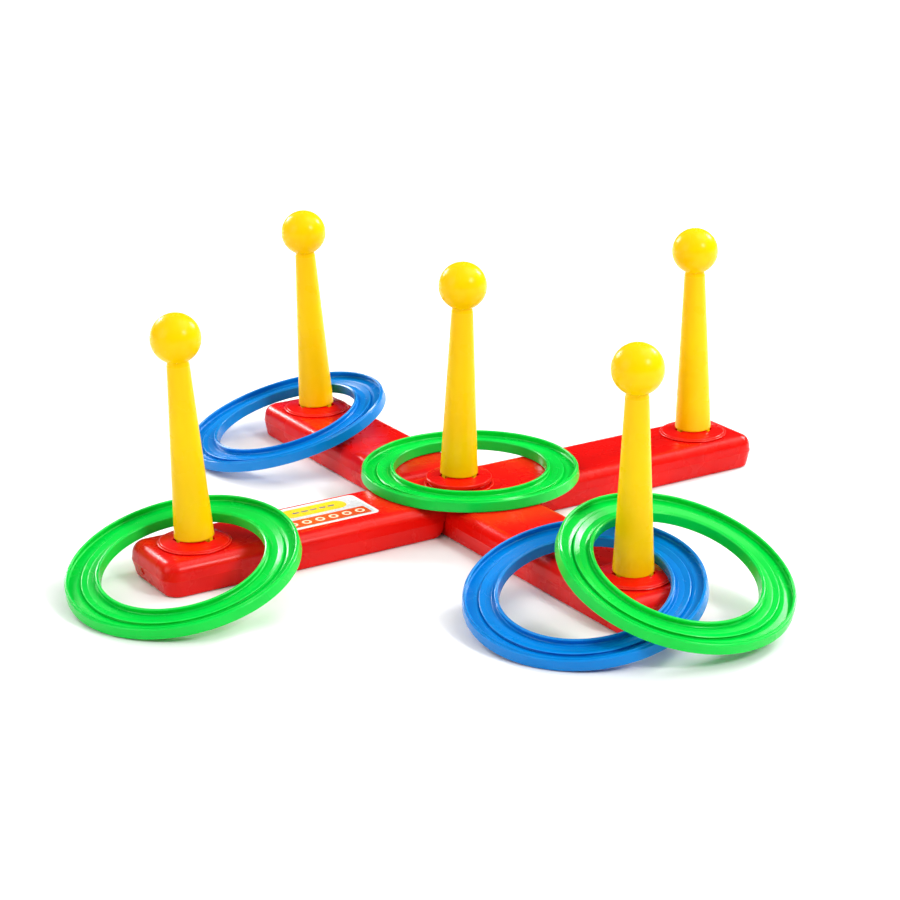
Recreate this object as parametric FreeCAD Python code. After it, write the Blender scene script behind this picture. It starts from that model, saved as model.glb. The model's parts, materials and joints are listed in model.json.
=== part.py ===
import FreeCAD, Part
import math
import os

from FreeCAD import Placement, Rotation, Vector

# Garden ring toss set: two hollow moulded beams half-lapped into a cross, five
# pegs with ball tops standing in sockets, and five rings lying where they fell.
# Millimetres.  Origin: centre of the cross on the ground.  +X runs along the
# upper beam, +Y along the lower beam, +Z is up.

# ---- layout ----
PEG_PITCH = 200.0             # from the centre peg to each end peg

# ---- beams ----
BEAM_HALF_LENGTH = 234.5
BEAM_HALF_WIDTH = 30.5        # at the parting line
BEAM_HEIGHT = 23.0
PARTING_HEIGHT = 11.3
SIDE_DRAFT_BELOW = 1.5        # how far the sides draw in between parting line and ground
SIDE_DRAFT_ABOVE = 0.5        # and between parting line and top
END_DRAFT_BELOW = 3.0
PLAN_CORNER_RADIUS = 11.0
TOP_EDGE_RADIUS = 8.0
BOTTOM_EDGE_RADIUS = 1.2
BEAM_WALL = 1.8

# ---- half-lap ----
LAP_CLEARANCE = 0.8           # each side, between the crossing beams
LAP_SPLIT = 11.65             # underside of the bridge in the upper beam
LAP_GAP = 0.3                 # from there down to the lower beam's notch floor
LAP_MOUTH_RADIUS = 8.0

# ---- blow pin dimple on a beam's end ----
DIMPLE_RADIUS = 1.9
DIMPLE_DEPTH = 1.2
DIMPLE_ASIDE = 8.0
DIMPLE_HEIGHT = 7.5

# ---- sockets ----
DISC_RADIUS = 22.0
DISC_EDGE = 1.5               # thickness at the rim
DISC_CROWN = 2.0              # extra height at the bore
BARREL_RADIUS = 15.5
BARREL_HOLE_CLEARANCE = 0.1
PASSING_HOLE_CLEARANCE = 0.5  # where the centre barrel reaches through the lower beam
BARREL_FLOOR = 3.2            # height of the barrel's lower end above the ground
BARREL_BASE = 1.6             # thickness of the barrel's closed end
BORE_RADIUS = 11.3
CENTRE_COLLAR = 4.0           # the centre disc stands this much higher
CENTRE_COLLAR_RADIUS = 21.3
LIP_INNER_RADIUS = 22.35      # raised ring moulded on the beam around each disc
LIP_OUTER_RADIUS = 23.2
LIP_HEIGHT = 0.6
KEYWAY_COUNT = 3
KEYWAY_REACH = 13.6           # radius of the keyway's outer wall
KEYWAY_WIDTH = 8.0
KEYWAY_DEPTH = 4.2
KEYWAY_TURN = 60.0            # direction of the first keyway from +X

# ---- pegs ----
RIM_HEIGHT = 27.5             # cone's lower rim above the ground at the arm ends
CONE_RADIUS = 12.5
NECK_RADIUS = 6.6
CONE_LENGTH = 112.6
CONE_WALL = 1.8
SHOULDER_RADIUS = 10.6        # short step under the rim
SHOULDER_LENGTH = 1.5
SPIGOT_RADIUS = 9.6
SPIGOT_LENGTH = 21.8         # its foot stands on the bore's floor
LUG_REACH = 12.3
LUG_WIDTH = 4.0
LUG_LENGTH = 3.9             # from the rim down
PLUG_BORE_RADIUS = 4.3
PLUG_BORE_DEPTH = 14.0

# ---- balls ----
BALL_RADIUS = 16.2
BALL_WALL = 2.0
COLLAR_RADIUS = 6.8
COLLAR_LENGTH = 3.2
PLUG_RADIUS = 4.25
PLUG_LENGTH = 11.0
PLUG_HOLE_RADIUS = 2.4

# ---- rings ----
RING_OUTER_RADIUS = 74.8
RING_INNER_RADIUS = 52.6
INNER_WALL_HEIGHT = 7.2
INNER_WALL = 1.8
OUTER_WALL_HEIGHT = 7.2
OUTER_WALL = 2.0
SHOULDER_ROUND = 1.1          # on the outer wall's upper outside edge
RIM_ROUND = 0.8               # on the inner wall's upper edges
FOOT_ROUND = 0.6              # on the ring's lower outside and inside edges
WEB_LOW = 1.5                 # underside of the web above the ring's foot
WEB_HIGH = 3.5
WEB_STEP = 0.3                # the web's inner half stands this much higher
WEB_STEP_RADIUS = 63.8

# ---- label ----
LABEL_NEAR_END = -72.0
LABEL_LENGTH = 71.0
LABEL_WIDTH = 39.0
LABEL_OFFSET = 2.0
LABEL_CORNER = 4.0
LABEL_THICKNESS = 0.25

# Where each peg stands, how far it leans in its loose socket, towards which
# direction counted from +X, and how far its lugs are turned inside the keyways.
PEGS = {
    "left": {"at": (-PEG_PITCH, 0), "lean": 3.1, "towards": 123, "turn": 5},
    "rear": {"at": (0, PEG_PITCH), "lean": 2.6, "towards": 148, "turn": -4},
    "centre": {"at": (0, 0), "lean": 1.6, "towards": 350, "turn": 0},
    "right": {"at": (PEG_PITCH, 0), "lean": 0.8, "towards": 148, "turn": -2},
    "front": {"at": (0, -PEG_PITCH), "lean": 2.5, "towards": 238, "turn": 5},
}

# Each ring's foot centre, how far it tilts, and the direction its low side faces.
RINGS = {
    "ring_green_left": {"foot": (-221.1, -27.5, 18.7), "tilt": 14.25, "low": 204.2},
    "ring_green_centre": {"foot": (15.9, 10.8, 23.4), "tilt": 0.0, "low": 0},
    "ring_green_front": {"foot": (9.0, -229.9, 32.4), "tilt": 19.7, "low": 281.3},
    "ring_blue_rear": {"foot": (-32.4, 184.6, 20.2), "tilt": 15.3, "low": 164.4},
    "ring_blue_front": {"foot": (-35.8, -199.8, 18.1), "tilt": 13.9, "low": 213.4},
}

Z_AXIS = Vector(0, 0, 1)
CUT_MARGIN = 1.0              # how far cutting shapes run past the surface they cut


def rounded_rectangle(half_length, half_width, corner, height):
    """Wire of a level rectangle with round corners."""
    straight_x = half_length - corner
    straight_y = half_width - corner
    diagonal = corner * math.sqrt(0.5)
    edges = []
    for sign_x, sign_y in ((1, 1), (-1, 1), (-1, -1), (1, -1)):
        centre = Vector(sign_x * straight_x, sign_y * straight_y, height)
        along_x = centre + Vector(sign_x * corner, 0, 0)
        along_y = centre + Vector(0, sign_y * corner, 0)
        middle = centre + Vector(sign_x * diagonal, sign_y * diagonal, 0)
        first, last = (along_x, along_y) if sign_x * sign_y > 0 else (along_y, along_x)
        if edges:
            edges.append(Part.makeLine(edges[-1].lastVertex().Point, first))
        edges.append(Part.Arc(first, middle, last).toShape())
    edges.append(Part.makeLine(edges[-1].lastVertex().Point, edges[0].firstVertex().Point))
    return Part.Wire(edges)


def beam_blank(inset):
    """Outer form of one beam with every face moved inwards by inset."""
    half_length = BEAM_HALF_LENGTH - inset
    half_width = BEAM_HALF_WIDTH - inset
    corner = PLAN_CORNER_RADIUS - inset
    foot = rounded_rectangle(half_length - END_DRAFT_BELOW, half_width - SIDE_DRAFT_BELOW,
                             corner - SIDE_DRAFT_BELOW, inset)
    parting = rounded_rectangle(half_length, half_width, corner, PARTING_HEIGHT)
    top = rounded_rectangle(half_length - SIDE_DRAFT_ABOVE, half_width - SIDE_DRAFT_ABOVE,
                            corner - SIDE_DRAFT_ABOVE, BEAM_HEIGHT - inset)
    lower = Part.makeLoft([foot, parting], True, True)
    upper = Part.makeLoft([parting, top], True, True)
    upper = upper.makeFillet(TOP_EDGE_RADIUS - inset, level_edges(upper, BEAM_HEIGHT - inset))
    lower = lower.makeFillet(max(BOTTOM_EDGE_RADIUS - inset, 0.4), level_edges(lower, inset))
    return lower.fuse(upper)


def level_edges(shape, height):
    """Edges that lie wholly at one height."""
    def is_level(edge):
        box = edge.BoundBox
        return abs(box.ZMin - height) < 1e-4 and abs(box.ZMax - height) < 1e-4
    return [edge for edge in shape.Edges if is_level(edge)]


def lap_cutter(inset):
    """What an upper beam loses underneath where the other beam passes, grown by inset.

    The mouth is rounded, so the arm's lower edge curls up into the crossing.
    """
    half = BEAM_HALF_WIDTH + LAP_CLEARANCE + inset
    ceiling = LAP_SPLIT + inset
    mouth = half - inset + LAP_MOUTH_RADIUS
    radius = LAP_MOUTH_RADIUS - inset
    floor = inset
    below = -CUT_MARGIN
    diagonal = radius * math.sqrt(0.5)
    points = {}
    for side in (-1, 1):
        centre = Vector(side * mouth, 0, LAP_MOUTH_RADIUS)
        points[side] = (
            Vector(side * mouth, 0, below),
            Vector(side * mouth, 0, floor),
            centre + Vector(-side * diagonal, 0, -diagonal),
            Vector(side * half, 0, LAP_MOUTH_RADIUS),
            Vector(side * half, 0, ceiling),
        )
    left, right = points[-1], points[1]
    profile = Part.Wire([
        Part.makeLine(left[0], left[1]),
        Part.Arc(left[1], left[2], left[3]).toShape(),
        Part.makeLine(left[3], left[4]),
        Part.makeLine(left[4], right[4]),
        Part.makeLine(right[4], right[3]),
        Part.Arc(right[3], right[2], right[1]).toShape(),
        Part.makeLine(right[1], right[0]),
        Part.makeLine(right[0], left[0]),
    ])
    reach = BEAM_HALF_WIDTH + CUT_MARGIN
    profile.translate(Vector(0, -reach, 0))
    return Part.Face(profile).extrude(Vector(0, 2 * reach, 0))


def turned_over(shape):
    """The same shape upside down within the beam's height."""
    turned = shape.copy()
    turned.rotate(Vector(0, 0, BEAM_HEIGHT / 2), Vector(1, 0, 0), 180)
    return turned


def cylinder(radius, low, high, at=(0, 0)):
    return Part.makeCylinder(radius, high - low, Vector(at[0], at[1], low))


def disc_lip(at):
    """The shallow ring moulded on a beam around a socket's disc."""
    low = BEAM_HEIGHT - BEAM_WALL / 2
    high = BEAM_HEIGHT + LIP_HEIGHT
    return cylinder(LIP_OUTER_RADIUS, low, high, at).cut(cylinder(LIP_INNER_RADIUS, low, high, at))


def hollow_beam(lap, peg_stations):
    """A blow-moulded beam along X: walls, lap notch, socket holes, lips and end dimples."""
    outer = beam_blank(0).cut(lap(0))
    core = beam_blank(BEAM_WALL).cut(lap(BEAM_WALL))
    beam = outer.cut(core)
    hole = BARREL_RADIUS + BARREL_HOLE_CLEARANCE
    for station in peg_stations:
        at = (station, 0)
        if station != 0:
            beam = beam.fuse(disc_lip(at))
            beam = beam.cut(cylinder(hole, BEAM_HEIGHT / 2, BEAM_HEIGHT + CUT_MARGIN, at))
    for side in (-1, 1):
        start = Vector(side * (BEAM_HALF_LENGTH + CUT_MARGIN), DIMPLE_ASIDE, DIMPLE_HEIGHT)
        length = CUT_MARGIN + DIMPLE_DEPTH + END_DRAFT_BELOW * (1 - DIMPLE_HEIGHT / PARTING_HEIGHT)
        beam = beam.cut(Part.makeCylinder(DIMPLE_RADIUS, length, start, Vector(-side, 0, 0)))
    return beam


def upper_beam():
    """The beam that bridges over the other one; it runs along X."""
    beam = hollow_beam(lap_cutter, (-PEG_PITCH, 0, PEG_PITCH))
    hole = BARREL_RADIUS + BARREL_HOLE_CLEARANCE
    beam = beam.fuse(disc_lip((0, 0)))
    return beam.cut(cylinder(hole, 0, BEAM_HEIGHT + CUT_MARGIN))


def lower_beam():
    """The beam that dips under the other one; it runs along Y."""
    def lap_from_above(inset):
        cutter = turned_over(lap_cutter(inset))
        drop = (BEAM_HEIGHT - LAP_SPLIT) - (LAP_SPLIT - LAP_GAP)
        cutter.translate(Vector(0, 0, -drop))
        return cutter
    beam = hollow_beam(lap_from_above, (-PEG_PITCH, PEG_PITCH))
    hole = BARREL_RADIUS + PASSING_HOLE_CLEARANCE
    beam = beam.cut(cylinder(hole, BEAM_WALL + CUT_MARGIN, LAP_SPLIT + CUT_MARGIN))
    beam.rotate(Vector(0, 0, 0), Z_AXIS, 90)
    return beam


def keyed_star(reach, width, low, high, turn):
    """Equal radial bars around the peg's axis: the keyways, or the lugs in them."""
    bars = []
    for index in range(KEYWAY_COUNT):
        bar = Part.makeBox(reach, width, high - low, Vector(0, -width / 2, low))
        bar.rotate(Vector(0, 0, 0), Z_AXIS, turn + index * 360 / KEYWAY_COUNT)
        bars.append(bar)
    star = bars[0].multiFuse(bars[1:])
    return star.common(cylinder(reach, low, high))


def socket(peg, collar):
    """A flanged cup that takes one peg; the centre one stands on a collar."""
    seat = BEAM_HEIGHT + collar
    rim = seat + DISC_EDGE
    crown = rim + DISC_CROWN
    profile = Part.makePolygon([
        Vector(0, 0, seat), Vector(DISC_RADIUS, 0, seat), Vector(DISC_RADIUS, 0, rim),
        Vector(CONE_RADIUS + 1, 0, crown), Vector(0, 0, crown), Vector(0, 0, seat)])
    disc = Part.Face(profile).revolve(Vector(0, 0, 0), Z_AXIS, 360)
    body = disc.fuse(cylinder(BARREL_RADIUS, BARREL_FLOOR, seat))
    if collar:
        body = body.fuse(cylinder(CENTRE_COLLAR_RADIUS, BEAM_HEIGHT, seat))
    body = body.cut(cylinder(BORE_RADIUS, BARREL_FLOOR + BARREL_BASE, crown))
    body = body.cut(keyed_star(KEYWAY_REACH, KEYWAY_WIDTH, crown - KEYWAY_DEPTH, crown, KEYWAY_TURN))
    body.translate(Vector(peg["at"][0], peg["at"][1], 0))
    return body


def peg_placement(peg, collar):
    """Stands a piece drawn upright, foot at zero, on its socket with the peg's lean."""
    direction = math.radians(peg["towards"])
    tilt_axis = Vector(-math.sin(direction), math.cos(direction), 0)
    foot = Vector(peg["at"][0], peg["at"][1], RIM_HEIGHT + collar)
    return Placement(foot, Rotation(tilt_axis, peg["lean"]))


def peg_cone(peg, collar):
    """Tapered hollow peg with a spigot and three lugs at its foot."""
    outer = Part.makeCone(CONE_RADIUS, NECK_RADIUS, CONE_LENGTH)
    shoulder = cylinder(SHOULDER_RADIUS, -SHOULDER_LENGTH, 0)
    spigot = cylinder(SPIGOT_RADIUS, -SPIGOT_LENGTH, 0)
    lugs = keyed_star(LUG_REACH, LUG_WIDTH, -LUG_LENGTH, 0, KEYWAY_TURN + peg["turn"])
    body = outer.multiFuse([shoulder, spigot, lugs])
    hollow_top = CONE_LENGTH - PLUG_BORE_DEPTH
    taper = (CONE_RADIUS - NECK_RADIUS) / CONE_LENGTH
    body = body.cut(cylinder(SPIGOT_RADIUS - CONE_WALL, -SPIGOT_LENGTH, CONE_WALL))
    top_radius = CONE_RADIUS - taper * hollow_top - CONE_WALL
    hollow = Part.makeCone(SPIGOT_RADIUS - CONE_WALL, top_radius, hollow_top - CONE_WALL,
                           Vector(0, 0, CONE_WALL))
    body = body.cut(hollow)
    body = body.cut(cylinder(PLUG_BORE_RADIUS, hollow_top, CONE_LENGTH))
    body.Placement = peg_placement(peg, collar)
    return body


def ball_knob(peg, collar):
    """Hollow ball on a short collar, with a plug that presses into the cone's top."""
    centre = math.sqrt(BALL_RADIUS ** 2 - COLLAR_RADIUS ** 2) + COLLAR_LENGTH
    middle = Vector(0, 0, centre)
    body = Part.makeSphere(BALL_RADIUS, middle)
    body = body.multiFuse([cylinder(COLLAR_RADIUS, 0, centre), cylinder(PLUG_RADIUS, -PLUG_LENGTH, 0)])
    body = body.cut(Part.makeSphere(BALL_RADIUS - BALL_WALL, middle))
    body = body.cut(cylinder(PLUG_HOLE_RADIUS, -PLUG_LENGTH, centre))
    body.translate(Vector(0, 0, CONE_LENGTH))
    body.Placement = peg_placement(peg, collar).multiply(body.Placement)
    return body


def circles(shape, radius, height):
    """The round edges of one radius at one height about the Z axis."""
    def matches(edge):
        curve = edge.Curve
        return (isinstance(curve, Part.Circle) and abs(curve.Radius - radius) < 1e-4
                and abs(curve.Center.z - height) < 1e-4)
    return [edge for edge in shape.Edges if matches(edge)]


def ring(pose):
    """A tossing ring: two upstanding walls joined by a stepped web below half height."""
    inner, outer = RING_INNER_RADIUS, RING_OUTER_RADIUS
    inner_top, outer_top = INNER_WALL_HEIGHT, OUTER_WALL_HEIGHT
    hole_side, rim_side = inner + INNER_WALL, outer - OUTER_WALL
    corners = [
        (inner, 0), (hole_side, 0), (hole_side, WEB_LOW), (rim_side, WEB_LOW),
        (rim_side, 0), (outer, 0), (outer, outer_top), (rim_side, outer_top),
        (rim_side, WEB_HIGH), (WEB_STEP_RADIUS, WEB_HIGH), (WEB_STEP_RADIUS, WEB_HIGH + WEB_STEP),
        (hole_side, WEB_HIGH + WEB_STEP), (hole_side, inner_top), (inner, inner_top),
    ]
    outline = [Vector(radius, 0, height) for radius, height in corners]
    body = Part.Face(Part.makePolygon(outline + outline[:1])).revolve(Vector(0, 0, 0), Z_AXIS, 360)
    rounds = {
        (outer, outer_top): SHOULDER_ROUND, (inner, inner_top): RIM_ROUND,
        (hole_side, inner_top): RIM_ROUND, (outer, 0): FOOT_ROUND, (inner, 0): FOOT_ROUND,
    }
    for (radius, height), rounding in rounds.items():
        body = body.makeFillet(rounding, circles(body, radius, height))
    direction = math.radians(pose["low"])
    tilt_axis = Vector(-math.sin(direction), math.cos(direction), 0)
    body.Placement = Placement(Vector(*pose["foot"]), Rotation(tilt_axis, pose["tilt"]))
    return body


def label():
    """Thin printed label on the upper beam's left arm."""
    outline = rounded_rectangle(LABEL_LENGTH / 2, LABEL_WIDTH / 2, LABEL_CORNER, BEAM_HEIGHT)
    plate = Part.Face(outline).extrude(Vector(0, 0, LABEL_THICKNESS))
    plate.translate(Vector(LABEL_NEAR_END - LABEL_LENGTH / 2, LABEL_OFFSET, 0))
    return plate


def main():
    parts = {
        "upper_beam": upper_beam(),
        "lower_beam": lower_beam(),
        "label": label(),
    }
    for name, peg in PEGS.items():
        collar = CENTRE_COLLAR if name == "centre" else 0
        parts["socket_" + name] = socket(peg, collar)
        parts["peg_" + name] = peg_cone(peg, collar)
        parts["ball_" + name] = ball_knob(peg, collar)
    for name, pose in RINGS.items():
        parts[name] = ring(pose)
    os.makedirs("parts", exist_ok=True)
    for name, shape in parts.items():
        shape.exportStep("parts/" + name + ".step")
        print(name, "solids", len(shape.Solids), "valid", shape.isValid(), "volume", round(shape.Volume))


main()
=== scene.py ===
import json
import math

import bmesh
import bpy
from mathutils import Matrix, Vector


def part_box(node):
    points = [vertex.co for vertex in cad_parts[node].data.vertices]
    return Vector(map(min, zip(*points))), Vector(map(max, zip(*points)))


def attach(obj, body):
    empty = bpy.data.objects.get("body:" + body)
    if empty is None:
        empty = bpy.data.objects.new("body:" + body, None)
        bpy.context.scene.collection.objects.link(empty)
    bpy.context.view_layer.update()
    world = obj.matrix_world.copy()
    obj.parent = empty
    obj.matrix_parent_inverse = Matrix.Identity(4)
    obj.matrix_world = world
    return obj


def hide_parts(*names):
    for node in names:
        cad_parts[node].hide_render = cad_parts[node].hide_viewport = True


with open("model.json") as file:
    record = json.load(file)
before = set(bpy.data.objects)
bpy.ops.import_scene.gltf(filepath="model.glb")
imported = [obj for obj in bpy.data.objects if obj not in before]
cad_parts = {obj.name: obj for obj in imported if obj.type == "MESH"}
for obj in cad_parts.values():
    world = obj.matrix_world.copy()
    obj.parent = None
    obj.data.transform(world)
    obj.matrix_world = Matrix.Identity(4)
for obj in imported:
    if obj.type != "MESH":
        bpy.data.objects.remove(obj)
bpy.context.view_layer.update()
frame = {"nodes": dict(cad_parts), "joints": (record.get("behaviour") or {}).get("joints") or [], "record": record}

MM = 0.001
BODY_OF = {node: body for body, nodes in frame["record"]["behaviour"]["bodies"].items() for node in nodes}
AXIS_OF = {joint["child"]: Vector(joint["axis"]) for joint in frame["joints"]}

# ---- beams, in millimetres ----
BEAM_HALF_LENGTH = 234.5
BEAM_HALF_WIDTH = 30.5        # at the parting line
BEAM_HEIGHT = 23.0
PARTING_HEIGHT = 11.3
SIDE_DRAFT_BELOW = 1.5
END_DRAFT_BELOW = 3.0
DRAFT_ABOVE = 0.5
PLAN_CORNER = 11.0
TOP_ROUND = 8.0
BOTTOM_ROUND = 1.2
FLASH = 0.12                  # how far the parting line stands out
FLASH_HALF_HEIGHT = 0.35
LAP_HALF_WIDTH = 31.3         # half the notch, where the other beam passes
LAP_MOUTH_ROUND = 8.0
UPPER_LAP_CEILING = 11.65     # underside of the upper beam's bridge
LOWER_LAP_FLOOR = 11.35       # floor of the lower beam's notch
PASSING_HOLE = 16.0           # in that floor, for the centre socket's barrel
PASSING_HOLE_FLOOR = 2.8
DIMPLE_RADIUS = 1.9
DIMPLE_DEPTH = 1.2
DIMPLE_ASIDE = 8.0
DIMPLE_HEIGHT = 7.5
PEG_PITCH = 200.0

# ---- sockets ----
DISC_RADIUS = 22.0
DISC_EDGE = 1.5
DISC_CROWN = 2.0
CROWN_RADIUS = 13.5
BARREL_RADIUS = 15.5
BARREL_FLOOR = 3.2
BORE_RADIUS = 11.3
BORE_FLOOR = 4.8
COLLAR_RADIUS = 21.3          # under the centre disc
LIP_INNER = 22.35
LIP_OUTER = 23.2
LIP_HEIGHT = 0.6
KEYWAYS = 3
KEYWAY_REACH = 13.6
KEYWAY_WIDTH = 8.0
KEYWAY_DEPTH = 4.2
KEYWAY_TURN = 60.0

# ---- pegs and balls ----
SPIGOT_LENGTH = 21.8
SPIGOT_RADIUS = 9.6
SPIGOT_WALL = 1.8
SHOULDER_RADIUS = 10.6
SHOULDER_LENGTH = 1.5
CONE_RADIUS = 12.5
NECK_RADIUS = 6.6
CONE_LENGTH = 112.6
LUG_REACH = 12.3
LUG_WIDTH = 4.0
LUG_LENGTH = 3.9
BALL_RADIUS = 16.2
BALL_COLLAR_RADIUS = 6.8
BALL_COLLAR_LENGTH = 3.2
PLUG_LENGTH = 11.0
PLUG_RADIUS = 4.2
PLUG_SHOWN = 2.0              # how much of the plug's top the knob's mesh keeps

# ---- rings ----
RING_OUTER = 74.55
RING_INNER = 52.75
INNER_WALL_TOP = 7.1
INNER_WALL = 1.7
OUTER_WALL_TOP = 7.1
OUTER_WALL = 1.9
SHOULDER_ROUND = 1.1
FOOT = 0.2                    # the moulding's foot above the CAD ring's
WEB_LOW = 1.5
WEB_HIGH = 3.5
WEB_STEP = 0.3
WEB_STEP_RADIUS = 63.8
WEB_LINES = (67.2, 60.4, 57.0)   # one outside the step, two inside it
WEB_LINE_DEPTH = 0.12
WEB_LINE_WIDTH = 0.5

# ---- finish ----
SHARP_EDGE = 0.45             # edges rounder than this show less and less wear and painted edge highlight


# ---------------------------------------------------------------- outlines
def rounded(corners, closed=True, steps=4):
    """Points of an outline (across, up, edge weight) with every corner (across, up, rounding) rounded.

    The edge weight is up to 1 in the middle of a sharp round, less on a wide one, and 0 on the straights; it sets
    both edge wear and a painted edge highlight.
    """
    points = []
    count = len(corners)
    for index, (across, up, rounding) in enumerate(corners):
        here = Vector((across, up))
        ends = not closed and index in (0, count - 1)
        if ends or rounding == 0:
            points.append((across, up, 0.0))
            continue
        before = Vector(corners[index - 1][:2]) - here
        after = Vector(corners[(index + 1) % count][:2]) - here
        before.normalize()
        after.normalize()
        half_angle = before.angle(after) / 2
        setback = rounding / math.tan(half_angle)
        start = here + before * setback
        end = here + after * setback
        centre = here + (before + after).normalized() * (rounding / math.sin(half_angle))
        sharpness = min(1.0, SHARP_EDGE / rounding)
        fineness = steps if rounding < 1 else 2 * steps
        for step in range(fineness + 1):
            share = step / fineness
            towards = (start - centre).slerp(end - centre, share)
            place = centre + towards
            points.append((place.x, place.y, sharpness * math.sin(math.pi * share)))
    return points


def new_object(name, build):
    """A mesh object made by build(bm, layer), where layer is the vertex layer that weighs worn edges and their
    painted highlight.
    """
    mesh = bpy.data.meshes.new(name)
    bm = bmesh.new()
    wear_and_highlight = bm.verts.layers.float.new("wear_and_highlight")
    build(bm, wear_and_highlight)
    bmesh.ops.recalc_face_normals(bm, faces=bm.faces)
    for face in bm.faces:
        face.smooth = True
    bm.to_mesh(mesh)
    bm.free()
    obj = bpy.data.objects.new(name, mesh)
    bpy.context.scene.collection.objects.link(obj)
    return obj


def lathe(bm, wear_and_highlight, outline, segments=96, closed=True):
    """Revolves an outline about Z. Points on the axis become one vertex."""
    rows = []
    for radius, height, worn_and_highlit in outline:
        if radius < 1e-6:
            vertex = bm.verts.new((0, 0, height * MM))
            vertex[wear_and_highlight] = worn_and_highlit
            rows.append([vertex] * segments)
            continue
        row = []
        for index in range(segments):
            angle = 2 * math.pi * index / segments
            vertex = bm.verts.new((radius * math.cos(angle) * MM, radius * math.sin(angle) * MM, height * MM))
            vertex[wear_and_highlight] = worn_and_highlit
            row.append(vertex)
        rows.append(row)
    pairs = list(zip(rows, rows[1:]))
    if closed:
        pairs.append((rows[-1], rows[0]))
    for low, high in pairs:
        for index in range(segments):
            after = (index + 1) % segments
            corners = []
            for vertex in (low[index], low[after], high[after], high[index]):
                if vertex not in corners:
                    corners.append(vertex)
            if len(corners) > 2:
                bm.faces.new(corners)


def stack(bm, wear_and_highlight, levels):
    """Skins a pile of level outlines, each a list of points, and closes both ends."""
    rows = []
    for outline, worn_and_highlit in levels:
        row = []
        for point in outline:
            vertex = bm.verts.new(Vector(point) * MM)
            vertex[wear_and_highlight] = worn_and_highlit
            row.append(vertex)
        rows.append(row)
    for low, high in zip(rows, rows[1:]):
        for index in range(len(low)):
            after = (index + 1) % len(low)
            bm.faces.new((low[index], low[after], high[after], high[index]))
    bm.faces.new(rows[0])
    bm.faces.new(rows[-1])


def plan(half_length, half_width, corner, height, steps=8):
    """Points of a level rectangle with round corners."""
    points = []
    for quarter in range(4):
        sign_x = 1 if quarter in (0, 3) else -1
        sign_y = 1 if quarter in (0, 1) else -1
        for step in range(steps + 1):
            angle = math.radians(90 * (quarter + step / steps))
            points.append((sign_x * (half_length - corner) + corner * math.cos(angle),
                           sign_y * (half_width - corner) + corner * math.sin(angle), height))
    return points


def carved(obj, *cutters):
    """obj with the cutters taken away; the cutters are removed."""
    for cutter in cutters:
        modifier = obj.modifiers.new("carve", "BOOLEAN")
        modifier.operation = "DIFFERENCE"
        modifier.solver = "EXACT"
        modifier.object = cutter
    bpy.context.view_layer.update()
    evaluated = obj.evaluated_get(bpy.context.evaluated_depsgraph_get())
    mesh = bpy.data.meshes.new_from_object(evaluated)
    obj.modifiers.clear()
    obj.data = mesh
    for cutter in cutters:
        bpy.data.objects.remove(cutter)
    return obj


def joined(first, *others):
    """One object made of several."""
    with bpy.context.temp_override(active_object=first, selected_editable_objects=[first, *others]):
        bpy.ops.object.join()
    return first


def evened(obj, crease=38):
    """Smooth shading that stays flat on flat faces and breaks at sharp edges."""
    bm = bmesh.new()
    bm.from_mesh(obj.data)
    for edge in bm.edges:
        edge.smooth = not edge.is_manifold or edge.calc_face_angle(0) < math.radians(crease)
    for face in bm.faces:
        face.smooth = True
    bm.to_mesh(obj.data)
    bm.free()
    modifier = obj.modifiers.new("even normals", "WEIGHTED_NORMAL")
    modifier.keep_sharp = True
    modifier.weight = 80
    return obj


# ---------------------------------------------------------------- where things are
def standing(node, axis):
    """Placement of a round node: its foot's centre at the origin and its own axis along Z."""
    axis = axis.normalized()
    side = (Vector((1, 0, 0)) - axis * axis.x).normalized()
    turn = Matrix((side, axis.cross(side), axis)).transposed()
    places = [turn.transposed() @ vertex.co for vertex in frame["nodes"][node].data.vertices]
    spans = [(min(place[k] for place in places), max(place[k] for place in places)) for k in range(3)]
    foot = Vector(((spans[0][0] + spans[0][1]) / 2, (spans[1][0] + spans[1][1]) / 2, spans[2][0]))
    return Matrix.Translation(turn @ foot) @ turn.to_4x4()


def main_normal(node):
    """The direction that most of a flat node's surface faces, turned upwards."""
    faces = []
    areas = {}
    for polygon in frame["nodes"][node].data.polygons:
        normal = polygon.normal if polygon.normal.z > 0 else -polygon.normal
        faces.append((normal, polygon.area))
        key = tuple(round(value, 1) for value in normal)
        areas[key] = areas.get(key, 0.0) + polygon.area
    rough = Vector(max(areas, key=areas.get))
    for spread in (10, 3, 1):
        near = [normal * area for normal, area in faces if normal.angle(rough) < math.radians(spread)]
        rough = sum(near, Vector()).normalized()
    return rough


def remember_places(obj):
    """Stores each vertex's place in the piece's own frame, for the materials."""
    places = obj.data.attributes.new("place", "FLOAT_VECTOR", "POINT")
    for vertex in obj.data.vertices:
        places.data[vertex.index].vector = vertex.co


def put(obj, node, material, placement=Matrix.Identity(4)):
    """Sets a finished piece in place of its CAD node. Its surface patterns keep to the piece's own frame."""
    remember_places(obj)
    obj.data.transform(placement)
    obj.data.materials.clear()
    obj.data.materials.append(material)
    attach(obj, BODY_OF[node])
    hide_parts(node)
    return obj


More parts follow.
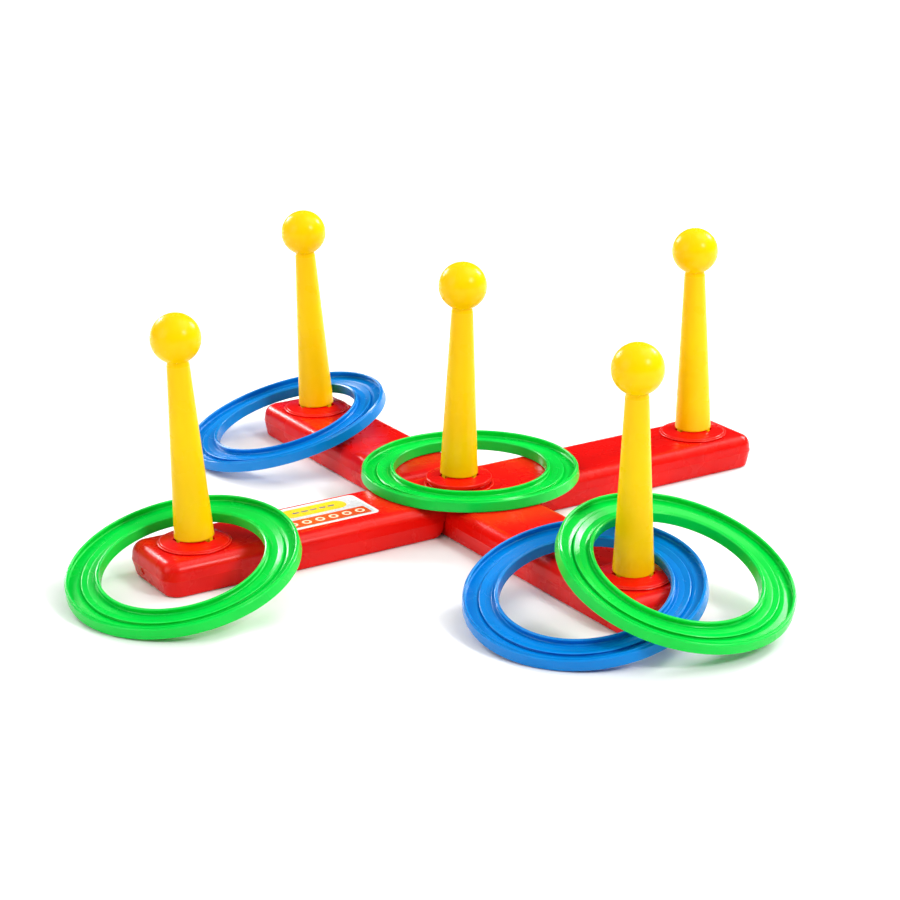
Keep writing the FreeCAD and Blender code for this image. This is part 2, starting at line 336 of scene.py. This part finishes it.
# ---------------------------------------------------------------- materials
class Nodes:
    """Short calls for building a node tree."""

    def __init__(self, name):
        self.material = bpy.data.materials.new(name)
        self.material.use_nodes = True
        self.tree = self.material.node_tree
        self.shader = self.tree.nodes["Principled BSDF"]
        self.place = self.add("ShaderNodeAttribute", {"attribute_name": "place"}).outputs["Vector"]

    def add(self, kind, settings=None, **inputs):
        node = self.tree.nodes.new(kind)
        for key, value in (settings or {}).items():
            setattr(node, key, value)
        for key, value in inputs.items():
            self.feed(node.inputs[key.replace("_", " ")], value)
        return node

    def feed(self, socket, value):
        if isinstance(value, bpy.types.NodeSocket):
            self.tree.links.new(value, socket)
        else:
            socket.default_value = value

    def noise(self, scale, detail=2.0, stretch=(1, 1, 1)):
        mapping = self.add("ShaderNodeMapping", Vector=self.place, Scale=stretch)
        node = self.add("ShaderNodeTexNoise", Vector=mapping.outputs["Vector"], Scale=scale, Detail=detail)
        return node.outputs["Fac"]

    def spread(self, value, low, high, to_low, to_high):
        node = self.add("ShaderNodeMapRange", Value=value, From_Min=low, From_Max=high,
                        To_Min=to_low, To_Max=to_high)
        return node.outputs["Result"]

    def maths(self, operation, first, second=0.0):
        node = self.tree.nodes.new("ShaderNodeMath")
        node.operation = operation
        self.feed(node.inputs[0], first)
        self.feed(node.inputs[1], second)
        return node.outputs[0]

    def blend(self, share, first, second):
        node = self.add("ShaderNodeMix", {"data_type": "RGBA"})
        self.feed(node.inputs[0], share)
        self.feed(node.inputs[6], first)
        self.feed(node.inputs[7], second)
        return node.outputs[2]

    def bump(self, height, strength, distance, under=None):
        node = self.add("ShaderNodeBump", Height=height, Strength=strength, Distance=distance)
        if under:
            self.tree.links.new(under, node.inputs["Normal"])
        return node.outputs["Normal"]


def moulded_plastic(name, colour, deep, worn_and_highlit, gloss, ripple, shine, turned=0.0):
    """Coloured polyethylene: tone drift, orange peel, fine handling scratches and paler edges, partly worn and
    partly a painted highlight.

    deep is the colour of the thicker, darker stretches, gloss the (smooth, dull) roughness pair,
    ripple the height of the moulded surface's waves, shine the strength of its reflections and
    turned the height of the mould's turning marks.
    """
    nodes = Nodes(name)
    cloud = nodes.noise(16.0, 2.0)
    tone = nodes.blend(nodes.spread(cloud, 0.35, 0.68, 0.0, 1.0), (*colour, 1), (*deep, 1))
    speck = nodes.noise(700.0, 3.0)
    # Paler edges: the edge weight mixes in the pale edge colour, partly edge wear and partly a painted highlight
    # on the rounds.
    edge = nodes.add("ShaderNodeAttribute", {"attribute_name": "wear_and_highlight"}).outputs["Fac"]
    rubbed_and_highlit = nodes.maths("MULTIPLY", edge, nodes.spread(nodes.noise(140.0, 3.0), 0.3, 0.65, 0.12, 0.42))
    nodes.feed(nodes.shader.inputs["Base Color"], nodes.blend(rubbed_and_highlit, tone, (*worn_and_highlit, 1)))

    scratch = nodes.noise(55.0, 4.0, (1, 26, 1))
    crossed = nodes.noise(48.0, 4.0, (30, 1, 2))
    lines = nodes.maths("MAXIMUM", nodes.spread(scratch, 0.66, 0.72, 0.0, 1.0),
                        nodes.spread(crossed, 0.68, 0.73, 0.0, 1.0))
    sheen = nodes.spread(nodes.noise(38.0, 4.0), 0.3, 0.7, gloss[0], gloss[1])
    sheen = nodes.maths("ADD", sheen, nodes.maths("MULTIPLY", lines, 0.06))
    sheen = nodes.maths("ADD", sheen, nodes.maths("MULTIPLY", rubbed_and_highlit, 0.12))
    nodes.feed(nodes.shader.inputs["Roughness"], sheen)

    wave = nodes.bump(nodes.noise(34.0, 1.0), 1.0, ripple)
    peel = nodes.bump(nodes.noise(420.0, 2.0), 0.35, 0.00006, wave)
    texture = nodes.maths("SUBTRACT", speck, nodes.maths("MULTIPLY", lines, 0.3))
    grain = nodes.bump(texture, 0.2, 0.00002, peel)
    if turned:
        flat = nodes.add("ShaderNodeVectorMath", {"operation": "MULTIPLY"})
        nodes.feed(flat.inputs[0], nodes.place)
        nodes.feed(flat.inputs[1], (1, 1, 0))
        radius = nodes.add("ShaderNodeVectorMath", {"operation": "LENGTH"})
        nodes.feed(radius.inputs[0], flat.outputs[0])
        grooves = nodes.add("ShaderNodeTexNoise", {"noise_dimensions": "1D"},
                            W=radius.outputs["Value"], Scale=900.0, Detail=2.0)
        grain = nodes.bump(grooves.outputs["Fac"], 0.5, turned, grain)
    nodes.tree.links.new(grain, nodes.shader.inputs["Normal"])
    nodes.shader.inputs["Subsurface Weight"].default_value = 0.08
    nodes.shader.inputs["Subsurface Radius"].default_value = [0.2 + 0.8 * value for value in colour]
    nodes.shader.inputs["Subsurface Scale"].default_value = 0.003
    nodes.shader.inputs["IOR"].default_value = 1.5
    nodes.shader.inputs["Specular IOR Level"].default_value = shine
    return nodes.material


def printed_film(name, colour, fleck, strength):
    """Printed vinyl: ink on a glossy film, with halftone-fine mottling and a slightly cockled surface."""
    nodes = Nodes(name)
    mottle = nodes.spread(nodes.noise(260.0, 4.0), 0.35, 0.7, 0.0, strength)
    nodes.feed(nodes.shader.inputs["Base Color"], nodes.blend(mottle, (*colour, 1), (*fleck, 1)))
    nodes.feed(nodes.shader.inputs["Roughness"], nodes.spread(nodes.noise(90.0, 3.0), 0.3, 0.7, 0.2, 0.36))
    cockle = nodes.bump(nodes.noise(45.0, 1.0), 0.5, 0.0003)
    nodes.tree.links.new(nodes.bump(nodes.noise(900.0, 2.0), 0.2, 0.00002, cockle),
                         nodes.shader.inputs["Normal"])
    return nodes.material


# The third colour of each plastic is its pale edge colour: edge wear together with a painted edge highlight.
RED = moulded_plastic("red_polyethylene", (0.84, 0.004, 0.001), (0.68, 0.002, 0.001), (1.0, 0.08, 0.04),
                      (0.20, 0.32), 0.0002, 0.2)
YELLOW = moulded_plastic("yellow_polyethylene", (0.96, 0.60, 0.0), (0.95, 0.54, 0.0), (1.0, 0.70, 0.06),
                         (0.22, 0.34), 0.0002, 0.13)
GREEN = moulded_plastic("green_polyethylene", (0.0, 0.68, 0.058), (0.0, 0.60, 0.048), (0.04, 0.86, 0.16),
                        (0.16, 0.30), 0.00012, 0.24, 0.00003)
BLUE = moulded_plastic("blue_polyethylene", (0.0, 0.235, 0.70), (0.0, 0.195, 0.60), (0.03, 0.38, 0.86),
                       (0.16, 0.30), 0.00012, 0.24, 0.00003)
FILM_WHITE = printed_film("film_white", (0.90, 0.90, 0.88), (0.80, 0.80, 0.80), 0.4)
FILM_SILVER = printed_film("film_silver", (0.62, 0.64, 0.66), (0.78, 0.79, 0.80), 0.8)
FILM_ORANGE = printed_film("film_orange", (0.83, 0.10, 0.01), (0.62, 0.05, 0.01), 0.6)
FILM_CREAM = printed_film("film_cream", (0.92, 0.86, 0.62), (0.85, 0.76, 0.48), 0.5)
FILM_YELLOW = printed_film("film_yellow", (0.94, 0.66, 0.02), (0.90, 0.54, 0.02), 0.6)
FILM_SLATE = printed_film("film_slate", (0.16, 0.17, 0.20), (0.26, 0.27, 0.30), 0.6)


# ---------------------------------------------------------------- beams
def beam_skin(bm, wear_and_highlight):
    """A beam along X: drafted sides, a raised parting line and a wide round top edge."""
    levels = []

    def level(side, end, height, worn_and_highlit=0.0, out=0.0):
        side += FLASH - out
        end += FLASH - out
        outline = plan(BEAM_HALF_LENGTH - end, BEAM_HALF_WIDTH - side, PLAN_CORNER - side, height)
        levels.append((outline, worn_and_highlit))

    # Each level's edge weight sets both its edge wear and its painted edge highlight.
    for step in range(5):
        angle = math.radians(90 * step / 4)
        lift = BOTTOM_ROUND * (1 - math.cos(angle))
        inward = BOTTOM_ROUND * (1 - math.sin(angle))
        left = 1 - lift / PARTING_HEIGHT
        worn_and_highlit = 0.6 * math.sin(2 * angle)
        level(SIDE_DRAFT_BELOW * left + inward, END_DRAFT_BELOW * left + inward, lift, worn_and_highlit)
    for offset, out, worn_and_highlit in ((-FLASH_HALF_HEIGHT, 0, 0.0), (0, FLASH, 0.5), (FLASH_HALF_HEIGHT, 0, 0.0)):
        below = max(-offset, 0) / PARTING_HEIGHT
        above = max(offset, 0) / (BEAM_HEIGHT - PARTING_HEIGHT)
        side = SIDE_DRAFT_BELOW * below + DRAFT_ABOVE * above
        end = END_DRAFT_BELOW * below + DRAFT_ABOVE * above
        level(side, end, PARTING_HEIGHT + offset, worn_and_highlit, out)
    for step in range(13):
        angle = math.radians(90 * step / 12)
        inward = DRAFT_ABOVE + TOP_ROUND * (1 - math.cos(angle))
        worn_and_highlit = 0.35 * math.sin(2 * angle) ** 2
        level(inward, inward, BEAM_HEIGHT - TOP_ROUND * (1 - math.sin(angle)), worn_and_highlit)
    stack(bm, wear_and_highlight, levels)


def lap_cutter(ceiling):
    """What a beam loses where the other passes below it; the mouth's lower edges are rounded."""
    def build(bm, wear_and_highlight):
        mouth = LAP_HALF_WIDTH + LAP_MOUTH_ROUND
        outline = [(-mouth, -1.0), (mouth, -1.0)]
        for side in (1, -1):
            arc = []
            for step in range(9):
                angle = math.radians(90 * step / 8)
                arc.append((side * (mouth - LAP_MOUTH_ROUND * math.sin(angle)),
                            LAP_MOUTH_ROUND * (1 - math.cos(angle))))
            outline += (arc + [(side * LAP_HALF_WIDTH, ceiling)])[::side]
        ends = [[(x, side * (BEAM_HALF_WIDTH + 1), z) for x, z in outline] for side in (-1, 1)]
        stack(bm, wear_and_highlight, [(end, 0.0) for end in ends])
    return new_object("lap_cutter", build)


def drum(radius, low, high):
    """A plain round cutter on the Z axis."""
    def build(bm, wear_and_highlight):
        lathe(bm, wear_and_highlight, [(0, low, 0), (radius, low, 0), (radius, high, 0), (0, high, 0)], 96, False)
    return new_object("drum", build)


def dimples():
    """The two blow-pin dimples of a beam, one on each end."""
    cutters = []
    for side in (-1, 1):
        def build(bm, wear_and_highlight):
            outline = rounded([(0, -DIMPLE_DEPTH, 0), (DIMPLE_RADIUS, -DIMPLE_DEPTH, 0.7),
                               (DIMPLE_RADIUS + 0.3, 3.0, 0), (0, 3.0, 0)], False)
            lathe(bm, wear_and_highlight, outline, 40, False)
        cutter = new_object("dimple", build)
        inset = END_DRAFT_BELOW * (1 - DIMPLE_HEIGHT / PARTING_HEIGHT)
        mouth = Vector((side * (BEAM_HALF_LENGTH - inset), DIMPLE_ASIDE, DIMPLE_HEIGHT)) * MM
        cutter.matrix_world = Matrix.Translation(mouth) @ Matrix.Rotation(side * math.pi / 2, 4, "Y")
        cutters.append(cutter)
    return cutters


def disc_lip(station):
    """The shallow ring moulded on a beam around a socket's disc."""
    foot = BEAM_HEIGHT

    def build(bm, wear_and_highlight):
        outline = rounded([
            (LIP_INNER, foot - 1, 0), (LIP_OUTER + 0.5, foot - 1, 0), (LIP_OUTER + 0.25, foot, 0),
            (LIP_OUTER, foot + LIP_HEIGHT, 0.3), (LIP_INNER, foot + LIP_HEIGHT, 0.2)])
        lathe(bm, wear_and_highlight, outline, 128)
    lip = new_object("lip", build)
    lip.location = (station * MM, 0, 0)
    return lip


def settled(obj):
    """Moves an object's placement into its mesh."""
    bpy.context.view_layer.update()
    obj.data.transform(obj.matrix_world)
    obj.matrix_world = Matrix.Identity(4)
    return obj


def beam(name, node, cutters, lips, turn):
    body = carved(new_object(name, beam_skin), *cutters, *dimples())
    body = joined(body, *[disc_lip(station) for station in lips])
    body.data.transform(Matrix.Rotation(turn, 4, "Z"))
    return put(evened(body), node, RED)


def lower_lap_cutter():
    cutter = lap_cutter(BEAM_HEIGHT - LOWER_LAP_FLOOR)
    cutter.matrix_world = (Matrix.Translation((0, 0, BEAM_HEIGHT * MM))
                           @ Matrix.Rotation(math.pi, 4, "X"))
    return settled(cutter)


beam("upper_beam_skin", "upper_beam", [lap_cutter(UPPER_LAP_CEILING)], (-PEG_PITCH, 0, PEG_PITCH), 0)
passing_hole = drum(PASSING_HOLE, PASSING_HOLE_FLOOR, LOWER_LAP_FLOOR + 1)
beam("lower_beam_skin", "lower_beam", [lower_lap_cutter(), passing_hole], (-PEG_PITCH, PEG_PITCH), math.pi / 2)


# ---------------------------------------------------------------- sockets
def bar(name, reach, width, low, high, turn, start=0.0):
    """A radial bar: a keyway's cutter or a lug."""
    def build(bm, wear_and_highlight):
        section = [(-width / 2, low), (width / 2, low), (width / 2, high), (-width / 2, high)]
        ends = [([(along, across, up) for across, up in section], 0.0) for along in (start, reach)]
        stack(bm, wear_and_highlight, ends)
    obj = new_object(name, build)
    obj.data.transform(Matrix.Rotation(math.radians(turn), 4, "Z"))
    return obj


def socket(node):
    """A flanged cup with three keyways around its mouth."""
    low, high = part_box(node)
    crown = high.z / MM
    rim = crown - DISC_CROWN
    seat = rim - DISC_EDGE
    collared = seat > BEAM_HEIGHT + 1
    neck = [(BARREL_RADIUS, seat, 0)]
    if collared:
        neck = [(BARREL_RADIUS, BEAM_HEIGHT, 0), (COLLAR_RADIUS, BEAM_HEIGHT, 0), (COLLAR_RADIUS, seat, 0.3)]

    def build(bm, wear_and_highlight):
        outline = rounded([
            (0, BARREL_FLOOR, 0), (BARREL_RADIUS, BARREL_FLOOR, 0.6), *neck,
            (DISC_RADIUS, seat, 0.25), (DISC_RADIUS, rim, 0.5), (CROWN_RADIUS, crown, 0.8),
            (BORE_RADIUS, crown, 0.4), (BORE_RADIUS, BORE_FLOOR, 0.6), (0, BORE_FLOOR, 0)], False)
        lathe(bm, wear_and_highlight, outline, 128, False)

    cup = new_object(node + "_cup", build)
    keyways = [bar("keyway", KEYWAY_REACH, KEYWAY_WIDTH, crown - KEYWAY_DEPTH, crown + 1,
                   KEYWAY_TURN + 360 * index / KEYWAYS) for index in range(KEYWAYS)]
    cup = carved(cup, *keyways)
    middle = (low + high) / 2
    return put(evened(cup), node, RED, Matrix.Translation((middle.x, middle.y, 0)))


# ---------------------------------------------------------------- pegs and balls
def peg(node):
    """A tapered peg with an open spigot and three lugs under its rim."""
    def build(bm, wear_and_highlight):
        rim = SPIGOT_LENGTH
        bore = SPIGOT_RADIUS - SPIGOT_WALL
        outline = rounded([
            (0, rim + 2, 0), (bore, rim + 2, 0), (bore, 0, 0.4), (SPIGOT_RADIUS, 0, 0.6),
            (SPIGOT_RADIUS, rim - SHOULDER_LENGTH, 0.2), (SHOULDER_RADIUS, rim - SHOULDER_LENGTH, 0.3),
            (SHOULDER_RADIUS, rim, 0.2), (CONE_RADIUS, rim, 0.6),
            (NECK_RADIUS, rim + CONE_LENGTH, 0.25), (0, rim + CONE_LENGTH, 0)], False)
        lathe(bm, wear_and_highlight, outline, 112, False)

    body = new_object(node + "_cone", build)
    placement = standing(node, AXIS_OF[BODY_OF[node]])
    turn = lug_turn(node, placement)
    lugs = [bar("lug", LUG_REACH, LUG_WIDTH, SPIGOT_LENGTH - LUG_LENGTH, SPIGOT_LENGTH,
                turn + 360 * index / KEYWAYS, SPIGOT_RADIUS - 1) for index in range(KEYWAYS)]
    body = joined(body, *lugs)
    return put(evened(body), node, YELLOW, placement)


def lug_turn(node, placement):
    """Where a peg's first lug points about its axis, in degrees, read from the CAD piece."""
    inverse = placement.inverted()
    total = Vector((0, 0))
    for vertex in frame["nodes"][node].data.vertices:
        place = inverse @ vertex.co
        reach = place.xy.length / MM
        if place.z < (SPIGOT_LENGTH - LUG_LENGTH + 0.2) * MM and reach > LUG_REACH - 0.6:
            angle = KEYWAYS * math.atan2(place.y, place.x)
            total += Vector((math.cos(angle), math.sin(angle)))
    return math.degrees(math.atan2(total.y, total.x)) / KEYWAYS


def ball(node):
    """A ball knob on its short collar, with the plug that presses into the peg."""
    def build(bm, wear_and_highlight):
        seat = PLUG_LENGTH
        centre = seat + BALL_COLLAR_LENGTH + math.sqrt(BALL_RADIUS ** 2 - BALL_COLLAR_RADIUS ** 2)
        outline = rounded([
            (0, seat - PLUG_SHOWN, 0), (PLUG_RADIUS, seat - PLUG_SHOWN, 0), (PLUG_RADIUS, seat, 0),
            (BALL_COLLAR_RADIUS, seat, 0.4), (BALL_COLLAR_RADIUS, seat + BALL_COLLAR_LENGTH - 0.5, 0)], False)
        start = math.asin(BALL_COLLAR_RADIUS / BALL_RADIUS)
        steps = 48
        for step in range(steps + 1):
            angle = start + (math.pi - start) * step / steps
            outline.append((max(BALL_RADIUS * math.sin(angle), 0.0) if step < steps else 0.0,
                            centre - BALL_RADIUS * math.cos(angle), 0.0))
        lathe(bm, wear_and_highlight, outline, 96, False)

    knob = new_object(node + "_knob", build)
    return put(evened(knob, 60), node, YELLOW, standing(node, AXIS_OF[BODY_OF[node]]))


# ---------------------------------------------------------------- rings
def web_line(radius, level):
    """A fine groove turned into a ring's web."""
    return [(radius + WEB_LINE_WIDTH / 2, level, 0), (radius, level - WEB_LINE_DEPTH, 0),
            (radius - WEB_LINE_WIDTH / 2, level, 0)]


def ring(node, material):
    """A tossing ring: two upstanding walls and a stepped web with fine lines between them."""
    def build(bm, wear_and_highlight):
        hole_side = RING_INNER + INNER_WALL
        rim_side = RING_OUTER - OUTER_WALL
        step_top = WEB_HIGH + WEB_STEP
        outer_line, middle_line, inner_line = WEB_LINES
        outline = rounded([
            (RING_INNER, FOOT, 0.5), (hole_side, FOOT, 0.4), (hole_side, WEB_LOW, 0.4),
            (rim_side, WEB_LOW, 0.4), (rim_side, FOOT, 0.4),
            (RING_OUTER, FOOT, 0.5), (RING_OUTER, OUTER_WALL_TOP, SHOULDER_ROUND),
            (rim_side, OUTER_WALL_TOP, 0.3), (rim_side, WEB_HIGH, 0.5), *web_line(outer_line, WEB_HIGH),
            (WEB_STEP_RADIUS + 0.3, WEB_HIGH, 0.12), (WEB_STEP_RADIUS, step_top, 0.12),
            *web_line(middle_line, step_top), *web_line(inner_line, step_top),
            (hole_side, step_top, 0.6), (hole_side, INNER_WALL_TOP, 0.5), (RING_INNER, INNER_WALL_TOP, 0.8)])
        lathe(bm, wear_and_highlight, outline, 240)

    body = new_object(node + "_moulding", build)
    return put(evened(body), node, material, standing(node, main_normal(node)))


for side in ("left", "rear", "centre", "right", "front"):
    socket("socket_" + side)
    peg("peg_" + side)
    ball("ball_" + side)
for side in ("left", "centre", "front"):
    ring("ring_green_" + side, GREEN)
for side in ("rear", "front"):
    ring("ring_blue_" + side, BLUE)


# ---------------------------------------------------------------- label
FILM_THICKNESS = 0.10
LAYER_STEP = 0.03             # from one printed layer's top to the next one's
LAYER_THICKNESS = 0.02
BORDER = 2.2
STRIP_MARGIN = 4.5            # from the film's ends to the orange strip's
STRIP_INSET = 9.6             # from the film's long edges to the strip's and the bar's middles
BAR_INSET = 11.2
STRIP_RINGS = 6
STRIP_PITCH = 10.0
BAR_HALF_LENGTH = 24.0
BAR_MARKS = 5
BAR_PITCH = 6.6


def label():
    """A printed film with a plain pattern of discs, bars and stripes."""
    low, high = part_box("label")
    middle = (low + high) / 2 / MM
    half_length = (high.x - low.x) / 2 / MM
    half_width = (high.y - low.y) / 2 / MM
    layers = []

    def patch(half_x, half_y, corner, at, order, material):
        top = low.z / MM + FILM_THICKNESS + LAYER_STEP * order
        bottom = low.z / MM if order == 0 else top - LAYER_THICKNESS
        outline = [(x + at[0], y + at[1]) for x, y, _ in plan(half_x, half_y, corner, 0)]

        def build(bm, wear_and_highlight):
            stack(bm, wear_and_highlight, [([(x, y, z) for x, y in outline], 0.0) for z in (bottom, top)])
        piece = new_object("label_layer", build)
        piece.data.materials.append(material)
        layers.append(piece)

    strip_middle = half_width - STRIP_INSET
    bar_middle = half_width - BAR_INSET
    patch(half_length, half_width, 4.0, (0, 0), 0, FILM_WHITE)
    patch(half_length - BORDER, half_width - BORDER, 2.6, (0, 0), 1, FILM_SILVER)
    patch(half_length - STRIP_MARGIN, 6.4, 1.6, (0, -strip_middle), 2, FILM_ORANGE)
    for index in range(STRIP_RINGS):
        along = (index - (STRIP_RINGS - 1) / 2) * STRIP_PITCH
        patch(3.3, 3.3, 3.2, (along, -strip_middle), 3, FILM_CREAM)
        patch(1.7, 1.7, 1.6, (along, -strip_middle), 4, FILM_ORANGE)
    patch(BAR_HALF_LENGTH, 7.4, 7.3, (0, bar_middle), 2, FILM_YELLOW)
    for index in range(BAR_MARKS):
        patch(2.6, 1.1, 1.0, ((index - (BAR_MARKS - 1) / 2) * BAR_PITCH, bar_middle), 3, FILM_SLATE)
    film = joined(*layers)
    film.name = "label_film"
    remember_places(film)
    film.data.transform(Matrix.Translation((middle.x * MM, middle.y * MM, 0)))
    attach(film, BODY_OF["label"])
    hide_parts("label")
    evened(film)


label()


# ---------------------------------------------------------------- studio
CAMERA_AZIMUTH = math.radians(-31.94)
CAMERA_ELEVATION = math.radians(19.04)
CAMERA_ROLL = math.radians(-0.45)
CAMERA_DISTANCE = 1.749
CAMERA_TARGET = Vector((0.0668, 0.1184, 0.0005))
CAMERA_LENS = 94.7

toward_camera = Vector((math.sin(CAMERA_AZIMUTH) * math.cos(CAMERA_ELEVATION),
                        -math.cos(CAMERA_AZIMUTH) * math.cos(CAMERA_ELEVATION), math.sin(CAMERA_ELEVATION)))
level_right = Vector((math.cos(CAMERA_AZIMUTH), math.sin(CAMERA_AZIMUTH), 0))
level_up = toward_camera.cross(level_right)
right = level_right * math.cos(CAMERA_ROLL) + level_up * math.sin(CAMERA_ROLL)
up = level_up * math.cos(CAMERA_ROLL) - level_right * math.sin(CAMERA_ROLL)

camera_data = bpy.data.cameras.new("camera")
camera_data.sensor_width = 36
camera_data.lens = CAMERA_LENS
camera = bpy.data.objects.new("camera", camera_data)
camera.matrix_world = (Matrix.Translation(CAMERA_TARGET + toward_camera * CAMERA_DISTANCE)
                       @ Matrix((right, up, toward_camera)).transposed().to_4x4())
bpy.context.scene.collection.objects.link(camera)
bpy.context.scene.camera = camera


def softbox(name, across, rise, ahead, distance, size, power):
    """A square light in that direction from the object, in the camera's right, up and towards."""
    direction = (right * across + up * rise + toward_camera * ahead).normalized()
    data = bpy.data.lights.new(name, "AREA")
    data.shape = "SQUARE"
    data.size = size
    data.energy = power
    lamp = bpy.data.objects.new(name, data)
    lamp.matrix_world = (Matrix.Translation(direction * distance)
                         @ direction.to_track_quat("Z", "Y").to_matrix().to_4x4())
    bpy.context.scene.collection.objects.link(lamp)


softbox("back_left", -0.60, 0.61, -0.52, 2.2, 0.5, 26)
softbox("back_right", 0.66, 0.68, -0.32, 2.2, 0.5, 26)
softbox("front_right", 0.60, 0.43, 0.67, 2.4, 0.5, 26)
softbox("front_left", -0.80, 0.30, 0.55, 2.6, 1.6, 20)
softbox("overhead", 0.45, 0.86, 0.22, 2.6, 1.6, 20)


REFLECTED_SHARE = 0.25
HORIZON = 0.18
ZENITH = 0.90


def surroundings():
    """White to the camera; for the light it is a bright ceiling that fades to a dim horizon.

    Reflections see only a share of it, so that the colours stay deep.
    """
    world = bpy.data.worlds.new("studio")
    world.use_nodes = True
    tree = world.node_tree
    direction = tree.nodes.new("ShaderNodeTexCoord")
    parts = tree.nodes.new("ShaderNodeSeparateXYZ")
    tree.links.new(direction.outputs["Generated"], parts.inputs[0])
    ceiling = tree.nodes.new("ShaderNodeMapRange")
    ceiling.interpolation_type = "SMOOTHSTEP"
    for socket, value in (("From Min", 0.35), ("From Max", 0.95), ("To Min", HORIZON), ("To Max", ZENITH)):
        ceiling.inputs[socket].default_value = value
    tree.links.new(parts.outputs["Z"], ceiling.inputs["Value"])
    ray = tree.nodes.new("ShaderNodeLightPath")
    dimmed = tree.nodes.new("ShaderNodeMath")
    dimmed.operation = "MULTIPLY"
    tree.links.new(ceiling.outputs["Result"], dimmed.inputs[0])
    dimmed.inputs[1].default_value = REFLECTED_SHARE
    lighting = tree.nodes.new("ShaderNodeMix")
    tree.links.new(ray.outputs["Is Glossy Ray"], lighting.inputs[0])
    tree.links.new(ceiling.outputs["Result"], lighting.inputs[2])
    tree.links.new(dimmed.outputs[0], lighting.inputs[3])
    choice = tree.nodes.new("ShaderNodeMix")
    choice.inputs[3].default_value = 1.0
    tree.links.new(ray.outputs["Is Camera Ray"], choice.inputs[0])
    tree.links.new(lighting.outputs[0], choice.inputs[2])
    background = tree.nodes["Background"]
    background.inputs["Color"].default_value = (1, 1, 1, 1)
    tree.links.new(choice.outputs[0], background.inputs["Strength"])
    bpy.context.scene.world = world


surroundings()
bpy.context.scene.view_settings.view_transform = "Standard"


FLOOR_RADIUS = 9000
FLOOR_DROP = 0.3
GLOW_START = 0.34             # metres from the middle
GLOW_FULL = 1.5
GLOW = 0.5


def floor():
    """A plain pale sweep just under the object. It glows faintly away from it, as a lit backdrop does."""
    def build(bm, wear_and_highlight):
        lathe(bm, wear_and_highlight, [(0, -FLOOR_DROP, 0), (FLOOR_RADIUS, -FLOOR_DROP, 0)], 64, False)
    sheet = new_object("floor", build)
    remember_places(sheet)
    nodes = Nodes("pale_floor")
    tint = nodes.spread(nodes.noise(3.0, 2.0), 0.3, 0.7, 0.0, 1.0)
    pale = nodes.blend(tint, (0.90, 0.90, 0.90, 1), (0.88, 0.88, 0.89, 1))
    nodes.feed(nodes.shader.inputs["Base Color"], pale)
    nodes.feed(nodes.shader.inputs["Roughness"], nodes.spread(nodes.noise(12.0, 3.0), 0.3, 0.7, 0.6, 0.7))
    nodes.shader.inputs["Specular IOR Level"].default_value = 0.1
    away = nodes.add("ShaderNodeVectorMath", {"operation": "LENGTH"})
    nodes.feed(away.inputs[0], nodes.place)
    glow = nodes.spread(away.outputs["Value"], GLOW_START, GLOW_FULL, 0.0, GLOW)
    nodes.shader.inputs["Emission Color"].default_value = (1, 1, 1, 1)
    nodes.feed(nodes.shader.inputs["Emission Strength"], glow)
    sheet.data.materials.append(nodes.material)


floor()
